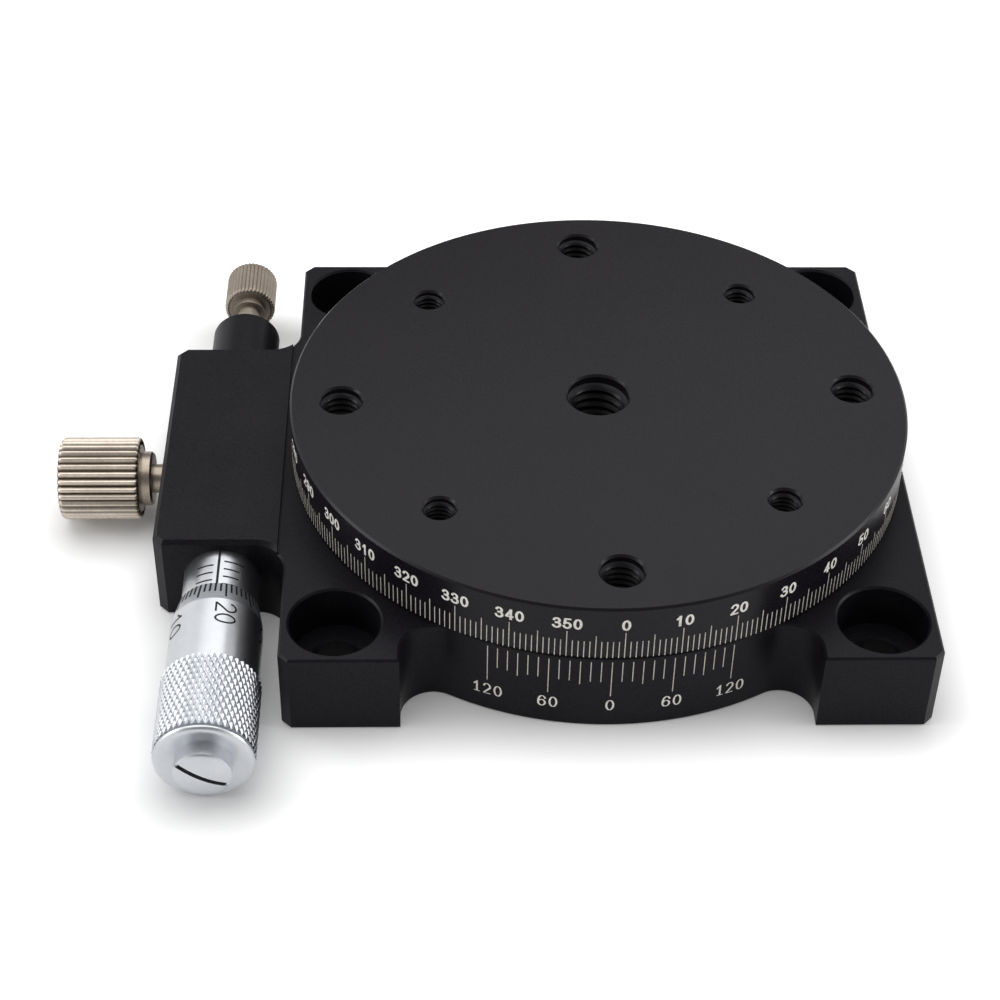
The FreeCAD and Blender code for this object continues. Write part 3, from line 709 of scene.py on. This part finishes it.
# Table: a turned plate with tapped holes and the degree dial on its rim
table = {"radius": 29.975, "low": 9.0, "top": 15.0, "chamfer": 0.2, "turn": 1.9, "footRadius": 17.2,
         "footLow": 8.7, "lead": 0.2, "centreHole": 3.0, "outerHole": 2.0, "outerAt": 25.0,
         "innerHole": 1.5, "innerAt": 22.627, "centrePitch": 1.0, "outerPitch": 0.7, "innerPitch": 0.5}
low, top, r, chamfer, lead = pick(table, "low, top, radius, chamfer, lead")
footLow, footRadius = pick(table, "footLow, footRadius")
plate = looseObject(turnedMesh([
    (footLow, 0), (footLow, footRadius), (low, footRadius), (low, r - 0.12), (low + 0.12, r),
    (top - chamfer, r), (top, r - chamfer), (top, 0)], 288))
holes = [(table["centreHole"], 0, 0, table["centrePitch"])]
for i in range(4):
    for ring, ahead in (("outer", 0), ("inner", 45)):
        angle, at = math.radians(table["turn"] + ahead + 90 * i), table[ring + "At"]
        place = (at * math.cos(angle), at * math.sin(angle))
        holes.append((table[ring + "Hole"], *place, table[ring + "Pitch"]))
combine(plate, [holeTool(x, y, [(8, r), (top - lead, r), (top + 1, r + lead + 1)])
                for r, x, y, pitch in holes])
finishThing(plate, "tablePlate", tableAnodise, "table", "black_anodised_table", replaces=["table_plate"])

threads = threadTree()
wound = []
for size, pitch in sorted({(hole[0], hole[3]) for hole in holes}):
    mouths = [(x, y, top - lead - 0.45 * pitch) for r, x, y, p in holes if r == size]
    wound.append(growMesh(threads, {"Radius": size, "Pitch": pitch, "Depth": 0.56 * pitch, "Segments": 40,
                                    "Turns": int(5.6 / pitch)}, mouths))
finishPiece("tableThreads", joinMeshes(wound), tableAnodise, "table", "black_anodised_table", sharp=50)

graduations = graduationTree()
dial = {"Count": 360, "Radius": 29.98, "Start": 9.03, "Side": 1.0, "First Angle": -90 + table["turn"],
        "Step Angle": 1.0, "Long": 3.1, "Middle": 2.7, "Short": 2.0, "Long Every": 10, "Middle Every": 5,
        "Width": 0.085, "Depth": 0.02, "Lean": 0.0}
finishPiece("dialLines", growMesh(graduations, dial), lineFill, "table", "black_anodised_table")
boldFace = {"width": 0.64, "thick": 0.19, "thin": 0.15, "gap": 0.08, "steps": 12, "foot": False,
            "height": 1.3, "bottom": 12.42}
numbers = numberRing(boldFace, [(str(10 * n), -90 + table["turn"] + 10 * n) for n in range(36)],
                     table["radius"] + 0.01, boldFace["bottom"])
finishPiece("dialNumbers", numbers, numberFill, "table", "black_anodised_table")

vernier = {**dial, "Count": 25, "Radius": 29.795, "Start": 8.25, "Side": -1.0, "First Angle": -112.0,
           "Step Angle": 11 / 6, "Long": 4.35, "Middle": 2.9, "Short": 2.5, "Long Every": 6,
           "Middle Every": 3}
finishPiece("vernierLines", growMesh(graduations, vernier), lineFill, "base", "black_anodised")
serifFace = {"width": 0.62, "thick": 0.14, "thin": 0.065, "gap": 0.17, "steps": 14, "foot": True,
             "height": 1.33, "bottom": 2.05, "radius": 29.81}
numbers = numberRing(serifFace, [(str(abs(n) * 60), -90 + 11 * n) for n in range(-2, 3)], serifFace["radius"],
                     serifFace["bottom"])
finishPiece("vernierNumbers", numbers, numberFill, "base", "black_anodised")
print("table and scales made")


# Micrometer head: sleeve with its scale, thimble with bevel, barrel and knurl, and the slotted cap
sleeve = {"radius": 3.6, "length": 16.6, "bore": 1.8, "stem": 3.0, "stemLength": 5.1, "face": -14.9}
sleeveMarks = {"zero": 1.45, "width": 0.19, "zeroTick": (50.0, 81.5), "rightTicks": (57.0, 81.5),
               "leftTicks": (97.0, 123.5), "lineMiddle": 8.2, "lineLength": 16.3, "lineAt": 89.3,
               "lineHalf": 1.9, "lift": 0.006}
spot = laid("front", mx, sleeve["face"], mz)
back, length, bore = -sleeve["stemLength"], sleeve["length"], sleeve["bore"]
profile = [(back, bore), (back, sleeve["stem"]), (0, sleeve["stem"]), (0, sleeve["radius"]),
           (length, sleeve["radius"]), (length, bore)]
finishTurned("micrometerSleeve", profile, 128, satinChrome, "base", "satin_chrome",
             replaces=["micrometer_sleeve"], place=spot)
sleeveScale = sleeveScaleTree()
zero, width, lineAt, lineHalf = pick(sleeveMarks, "zero, width, lineAt, lineHalf")
marks = []
for count, start, (first, last), wide in (
        (1, zero, sleeveMarks["zeroTick"], width), (7, zero + 1, sleeveMarks["rightTicks"], width),
        (7, zero + 0.5, sleeveMarks["leftTicks"], width),
        (1, sleeveMarks["lineMiddle"], (lineAt - lineHalf, lineAt + lineHalf), sleeveMarks["lineLength"])):
    marks.append(growMesh(sleeveScale, {
        "Count": count, "Radius": sleeve["radius"] + sleeveMarks["lift"], "Start": start, "Spacing": 1.0,
        "First Angle": first, "Last Angle": last, "Width": wide}))
finishPiece("sleeveScale", joinMeshes(marks), blackFill, "base", "satin_chrome", place=spot)

thimble = {"edgeY": -19.53, "bore": 3.7, "lip": 3.8, "radius": 4.3, "bevel": 2.45, "knurlStart": 9.7,
           "length": 18.8, "root": 4.42, "crest": 4.598, "groove": 4.3, "rim": 4.53, "rimLength": 0.66,
           "rimRound": 0.42, "dish": ((0, 3.9), (0.04, 3.5), (0.1, 3.05), (0.15, 2.72)), "stud": 1.2,
           "endWall": 1.6, "around": 47, "rows": 14, "marks": 50, "reading": 17.95}
onThimble = {"body": "thimble_set", "slot": "satin_chrome", "place": laid("front", mx, thimble["edgeY"], mz)}
bore, lip, radius, bevel = pick(thimble, "bore, lip, radius, bevel")
start, end, knurlEnd = thimble["knurlStart"], thimble["length"], thimble["length"] - thimble["rimLength"]
profile = [(0, bore), (0, lip), (bevel, radius), (bevel, bore)]
finishTurned("thimbleBevel", profile, 128, bevelChrome, **onThimble)
root, groove, rim, bend, stud = pick(thimble, "root, groove, rim, rimRound, stud")
deep, wall = end - thimble["dish"][-1][0], end - thimble["endWall"]
barrel = [(bevel, bore), (bevel, radius), (start - 0.12, radius), (start, root), (knurlEnd, root),
          (knurlEnd + 0.02, groove), (knurlEnd + 0.18, groove), (knurlEnd + 0.2, rim - 0.04)]
barrel += [(end - bend + y, rim - bend + x) for x, y in arcPoints(0, 0, bend, 0, 90, 8)[1:]]
barrel += [(end - depth, r) for depth, r in thimble["dish"]] + [(deep, stud), (wall, stud), (wall, bore)]
finishTurned("thimbleBarrel", barrel, 128, satinChrome, replaces=["thimble"], **onThimble)
knurl = growMesh(diamondKnurlTree(), {
    "Around": thimble["around"], "Rows": thimble["rows"], "Root Radius": root - 0.01,
    "Height": thimble["crest"] - root + 0.01, "Start": start, "End": knurlEnd - 0.02})
finishPiece("thimbleKnurl", knurl, knurlChrome, sharp=35, **onThimble)
step, zeroAngle = 360 / thimble["marks"], 90 + thimble["reading"] * 360 / thimble["marks"]
bevelLines = {"Count": thimble["marks"], "Radius": lip + 0.006, "Start": 0.0, "Side": 1.0,
              "Lean": math.degrees(math.atan2(radius - lip, bevel)), "First Angle": zeroAngle,
              "Step Angle": -step, "Long": 2.1, "Middle": 1.35, "Short": 1.35, "Long Every": 5,
              "Middle Every": 5, "Width": 0.19, "Depth": 0.02}
finishPiece("thimbleLines", growMesh(graduations, bevelLines), blackFill, **onThimble)
plainFace = {"width": 0.6, "thick": 0.095, "thin": 0.09, "gap": 0.09, "steps": 14, "foot": False,
             "height": 2.05, "inset": 0.5, "lean": 1.7}
labels = [(str(10 * n), 90 - (10 * n - thimble["reading"]) * step - plainFace["lean"]) for n in range(5)]
numbers = numberRing(plainFace, labels, radius + 0.008, bevel + plainFace["inset"], across=False)
finishPiece("thimbleNumbers", numbers, blackFill, **onThimble)

cap = {"radius": 2.6, "height": 1.8, "dome": 0.42, "edge": 0.1, "slotWidth": 0.45, "slotDepth": 0.55,
       "slotTurn": 30.0, "stud": 1.15, "studLength": 3.4, "slotShadeDepth": 0.06, "slotShadeRoom": 0.02,
       "slotShadeShort": 0.15}
onThimble["place"] = laid("front", mx, thimble["edgeY"] - end, mz)
low, wide, skirt = cap["height"] - cap["dome"], cap["radius"] - cap["edge"], -thimble["dish"][-1][0]
back, stud, radius = -cap["studLength"], cap["stud"], cap["radius"]
head = [(back, 0), (back, stud), (skirt, stud), (skirt, radius), (low - cap["edge"], radius)]
head += [(low + cap["dome"] * (1 - (i / 10) ** 2), wide * i / 10) for i in range(10, -1, -1)]
half, room, slotFloor = cap["slotWidth"] / 2, cap["slotShadeRoom"], cap["height"] - cap["slotDepth"]
slotShadeEnd, turn = wide - cap["slotShadeShort"], Matrix.Rotation(math.radians(-cap["slotTurn"]), 4, "Z")
slot = boxMesh(-4, 4, half, slotFloor, cap["height"] + 1)
capHead = combine(looseObject(turnedMesh(head, 96)), [placed(slot, turn)])
finishThing(capHead, "thimbleCap", satinChrome, replaces=["thimble_cap"], **onThimble)
# Painted shade: a black strip at the floor of the cap's slot, where there is only shadow
slotShadeStrip = boxMesh(-slotShadeEnd, slotShadeEnd, half - room, slotFloor - room, slotFloor + cap["slotShadeDepth"])
finishThing(looseObject(placed(slotShadeStrip, turn)), "paintedSlotShade", blackFill, **onThimble)
print("micrometer head made")


# Coarse clamp thumbscrew: a straight-knurled head on a collar
straightKnurl = straightKnurlTree()
thumb = {"start": 45.2, "length": 7.9, "collar": 2.7, "collarLength": 1.2, "collarEdge": 0.2, "shank": 1.45,
         "tip": 17.97, "paintedGrooveShade": "#5a4e42"}
thumbKnurl = {"Ribs": 31, "Radius": 4.1, "Groove": 0.38, "Sharpness": 1.6, "Start Round": 0.35,
              "End Round": 0.5, "Steps": 30}
onClamp = {"body": "clamp_knob", "slot": "nickel_plate", "place": laid("left", 0, 0, clampZ)}
head, tail = thumb["start"], thumb["start"] + thumb["length"]
core, collar, edge = thumbKnurl["Radius"] - thumbKnurl["Groove"] - 0.03, thumb["collar"], thumb["collarEdge"]
foot, tip, shank = head - thumb["collarLength"], thumb["tip"], thumb["shank"]
profile = [(tip, 0), (tip, shank), (foot, shank), (foot, collar - edge), (foot + edge, collar),
           (head - edge, collar), (head - 0.15, collar - edge), (head, collar - edge), (head, core - 0.4),
           (head + 0.5, core), (tail - 0.9, core), (tail - 0.35, core - 0.2), (tail, core - 0.6), (tail, 0)]
finishTurned("clampScrew", profile, 96, shadedCollarNickel, replaces=["clamp_screw"], **onClamp)
ribNickel = workedMetal("ribNickel", "#e0d5c8", "#cfc3b5", 0.36, 0.3, 0.1)
# Painted shade in the bottoms of the thumbscrew's grooves
shadeGrooves(ribNickel, (0, 1, 1), (0, 0, clampZ), core, thumbKnurl["Radius"] - 0.1, thumb["paintedGrooveShade"])
ribs = growMesh(straightKnurl, {**thumbKnurl, "Start": head, "End": tail})
finishPiece("clampRibs", ribs, ribNickel, sharp=60, **onClamp)


# Spring plunger behind the block: black housing and plug, and the nickel preload screw
plunger = {"front": 7.3, "face": 14.9, "end": 23.0, "radius": 3.5, "stem": 3.0, "chamfer": 0.8,
           "bore": 2.3, "guide": 1.35, "guideLength": 1.0, "plug": 2.74, "plugLength": 1.6, "notch": 0.35}
preload = {"seat": 20.92, "shaft": 1.2, "collar": 1.7, "collarLength": 0.9, "start": 27.6, "end": 32.75}
preloadKnurl = {"Ribs": 40, "Radius": 2.7, "Groove": 0.13, "Sharpness": 2.4, "Start Round": 0.3,
                "End Round": 0.35, "Steps": 20}
spot = laid("rear", mx, 0, mz)
front, face, end, radius = pick(plunger, "front, face, end, radius")
bore, guide, stem, plug = pick(plunger, "bore, guide, stem, plug")
plugStart, inner = end - plunger["plugLength"], front + plunger["guideLength"]
shell = [(front, guide), (front, stem), (face, stem), (face, radius), (end - plunger["chamfer"], radius),
         (end, radius - 0.6), (end, plug + 0.02), (plugStart, plug + 0.02), (plugStart, bore), (inner, bore),
         (inner, guide)]
finishTurned("plungerHousing", shell, 96, baseAnodise, "base", "black_anodised",
             replaces=["plunger_housing"], place=spot)
hole = preload["shaft"] + 0.05
stopper = [(plugStart, hole), (plugStart, plug), (end - 0.15, plug), (end - 0.05, plug - 0.1),
           (end - 0.05, hole)]
notch = boxMesh(-4, 4, plunger["notch"], end - 0.6, end + 1)
finishThing(combine(looseObject(turnedMesh(stopper, 80)), [notch]), "housingPlug", coverAnodise, "base",
            "black_anodised", replaces=["housing_plug"], place=spot)
seat, shaft, collar, start, end = pick(preload, "seat, shaft, collar, start, end")
neck, core = start - preload["collarLength"], preloadKnurl["Radius"] - 0.16
stud = [(seat, 0), (seat, shaft), (neck, shaft), (neck, collar), (start, collar), (start, core - 0.3),
        (start + 0.35, core), (end - 0.35, core), (end, core - 0.3), (end, 0)]
onPreload = {"body": "preload_knob", "slot": "nickel_plate", "place": spot}
finishTurned("preloadScrew", stud, 80, dullShadedNickel, replaces=["preload_screw"], **onPreload)
ribs = growMesh(straightKnurl, {**preloadKnurl, "Start": start, "End": end})
finishPiece("preloadRibs", ribs, dullShadedNickel, sharp=60, **onPreload)
print("thumbscrew and plunger made")


# Underside: the sheet cover in its recess, its screws, and the grub screw that holds the sleeve
cover = {"low": 0.1, "top": 1.0, "radius": 23.3, "hole": 4.0, "wingLeft": -41.57, "wingRight": -19.4,
         "wingHalf": 11.0, "screwRing": 21.4, "screwAngles": (60, -60), "headRadius": 1.75, "shank": 1.0,
         "wingScrews": [(-27.0, 9.2), (-27.0, -9.2)], "room": 0.05}
sheet = looseObject(discMesh(cover["radius"], cover["low"], cover["top"]))
wing = boxMesh(cover["wingLeft"], cover["wingRight"], cover["wingHalf"], cover["low"], cover["top"])
combine(sheet, [wing], "UNION")
angles = [math.radians(angle) for angle in cover["screwAngles"]]
screwPlaces = [(cover["screwRing"] * math.cos(a), cover["screwRing"] * math.sin(a)) for a in angles]
screwPlaces += cover["wingScrews"]
wide, narrow, foot = cover["headRadius"] + cover["room"], cover["shank"] + cover["room"], cover["low"]
sunk = [(-1, wide + 1 + foot), (foot + wide - narrow, narrow), (2, narrow)]
tools = [holeTool(0, 0, [(-1, cover["hole"] + 1.3), (foot + 0.2, cover["hole"]), (2, cover["hole"])], 80)]
combine(sheet, tools + [holeTool(x, y, sunk, 48) for x, y in screwPlaces])
finishThing(sheet, "bottomCover", coverAnodise, "base", "cover_anodised", replaces=["bottom_cover"])
screws = socketScrewTree()
heads = growMesh(screws, {"Head Radius": cover["headRadius"], "Foot Radius": cover["shank"],
                          "Head Height": 0.75, "Socket": 0.66, "Socket Depth": 0.5},
                 [(x, y, foot) for x, y in screwPlaces])
finishPiece("coverScrews", heads, blackSteel, "base", "screw_steel", replaces=["cover_screws"])
grub = growMesh(screws, {"Head Radius": 1.2, "Foot Radius": 1.2, "Head Height": 1.3, "Socket": 0.72,
                         "Socket Depth": 0.9}, [(mx, base["grubY"], 0.3)])
finishPiece("sleeveSetScrew", grub, blackSteel, "base", "screw_steel", replaces=["sleeve_set_screw"])
print("underside made")


# White sweep with a large lamp overhead and behind, two low side lamps, a darker room behind the camera, and
# painted shade on the floor round the object
studioValues = {
    # The floor glow falls to its low level at the footprint boxes below: painted shade on the floor round the
    # object
    "floor": "#efefef", "floorHalf": 3.0, "glowNear": 0.08, "glowFar": 0.46, "reach": 9.0, "blend": 4.0,
    "footprints": ((-40, 28, -28, 28), (-50, -42, -3, 3), (-39, -33, -38, -30)),
    "floorShine": 0.1, "worldLight": 0.36,
    "darkZones": (((0.0, -0.66, 0.75), 0.55, 0.95, 0.25), ((0.0, 0.906, 0.42), 0.80, 0.97, 0.35),
                  ((0.0, 0.4, 0.9), 0.65, 0.92, 0.4)),
    "lamps": (("overhead", (-0.06, 0.18, 0.61), 0.85, 3.3), ("leftSide", (-0.6, -0.02, 0.26), 0.3, 1.0),
              ("rightSide", (0.6, -0.05, 0.18), 0.25, 1.0)),
    "lens": 81.2, "forward": (0.02597, 0.74735, -0.66392), "up": (0.00228, 0.6641, 0.74764),
    "eye": (-15.3, -170.87, 153.08)}


def makeFloor(values):
    floorMesh = bpy.data.meshes.new("floor")
    half = values["floorHalf"]
    floorMesh.from_pydata([(-half, -half, 0), (half, -half, 0), (half, half, 0), (-half, half, 0)], [],
                          [(0, 1, 2, 3)])
    floor = linked("floor", floorMesh)
    material, add, place, shader = newMaterial("paleFloor", {
        "Base Color": hexColor(values["floor"]), "Roughness": 0.9, "Specular IOR Level": 0.0,
        "Emission Color": (1, 1, 1, 1)})
    path = add("ShaderNodeLightPath").outputs
    shine = add("MULTIPLY", [path["Is Glossy Ray"], values["floorShine"]])
    # The glow that makes the open floor white falls to a low level towards the object's footprints: painted
    # shade on the floor round the object, added to its real shadow
    away = 1.0
    for x0, x1, y0, y1 in values["footprints"]:
        middle = ((x0 + x1) / 2 * mm, (y0 + y1) / 2 * mm, 0)
        half = ((x1 - x0) / 2 * mm, (y1 - y0) / 2 * mm, 0)
        off = place
        for operation, other in (("SUBTRACT", middle), ("ABSOLUTE", None), ("SUBTRACT", half),
                                 ("MAXIMUM", (0, 0, 0))):
            off = add(vectorMaths, [off, other], operation=operation)
        outside = add(vectorMaths, [off], operation="LENGTH").outputs["Value"]
        away = add("SMOOTH_MIN", [away, outside, values["blend"] * mm])
    level = add(mapRange, [away, 0.0, values["reach"] * mm, values["glowNear"], values["glowFar"]],
                interpolation_type="SMOOTHSTEP")
    glow = add("MULTIPLY_ADD", [path["Is Camera Ray"], level, shine])
    shader.id_data.links.new(glow.outputs[0], shader.inputs["Emission Strength"])
    floorMesh.materials.append(material)


def makeWorld(values):
    world = bpy.data.worlds.new("studio")
    scene.world = world
    world.use_nodes = True
    tree = world.node_tree
    tree.nodes.clear()
    add = partial(addNode, tree)
    path = add("ShaderNodeLightPath").outputs
    way = add("ShaderNodeTexCoord").outputs["Generated"]
    mirrored = 1.0
    for toward, start, full, darkLevel in values["darkZones"]:
        toward = tuple(Vector(toward).normalized())
        facing = add(vectorMaths, [way, toward], operation="DOT_PRODUCT").outputs["Value"]
        shade = add(mapRange, [facing, start, full, 1.0, darkLevel], interpolation_type="SMOOTHSTEP")
        mirrored = add("MULTIPLY", [shade, mirrored])
    bright = add("MAXIMUM", [path["Is Glossy Ray"], path["Is Transmission Ray"]])
    level = add(mapRange, [bright, 0.0, 1.0, values["worldLight"], mirrored])
    strength = add(mapRange, [path["Is Camera Ray"], 0.0, 1.0, level, 1.0])
    background = add("ShaderNodeBackground", {"Color": (1, 1, 1, 1), "Strength": strength})
    add("ShaderNodeOutputWorld", [background])


def makeLamps(values):
    for name, spot, size, power in values["lamps"]:
        light = bpy.data.lights.new(name, "AREA")
        light.shape, light.size, light.energy = "SQUARE", size, power
        lamp = linked(name, light)
        lamp.location, lamp.rotation_mode = spot, "QUATERNION"
        lamp.rotation_quaternion = (-Vector(spot)).to_track_quat("-Z", "Y")


def makeCamera(values):
    camera = linked("camera", bpy.data.cameras.new("camera"))
    camera.data.sensor_width, camera.data.lens = 36.0, values["lens"]
    forward, up = Vector(values["forward"]).normalized(), Vector(values["up"])
    right = forward.cross(up).normalized()
    up = right.cross(forward)
    turn = Matrix((right, up, -forward)).transposed().to_4x4()
    camera.matrix_world = Matrix.Translation(Vector(values["eye"]) * mm) @ turn
    camera.data.clip_start, camera.data.clip_end = 0.01, 10
    scene.camera = camera


for make in (makeFloor, makeWorld, makeLamps, makeCamera):
    make(studioValues)
scene.view_settings.view_transform = "Standard"
print("studio made")
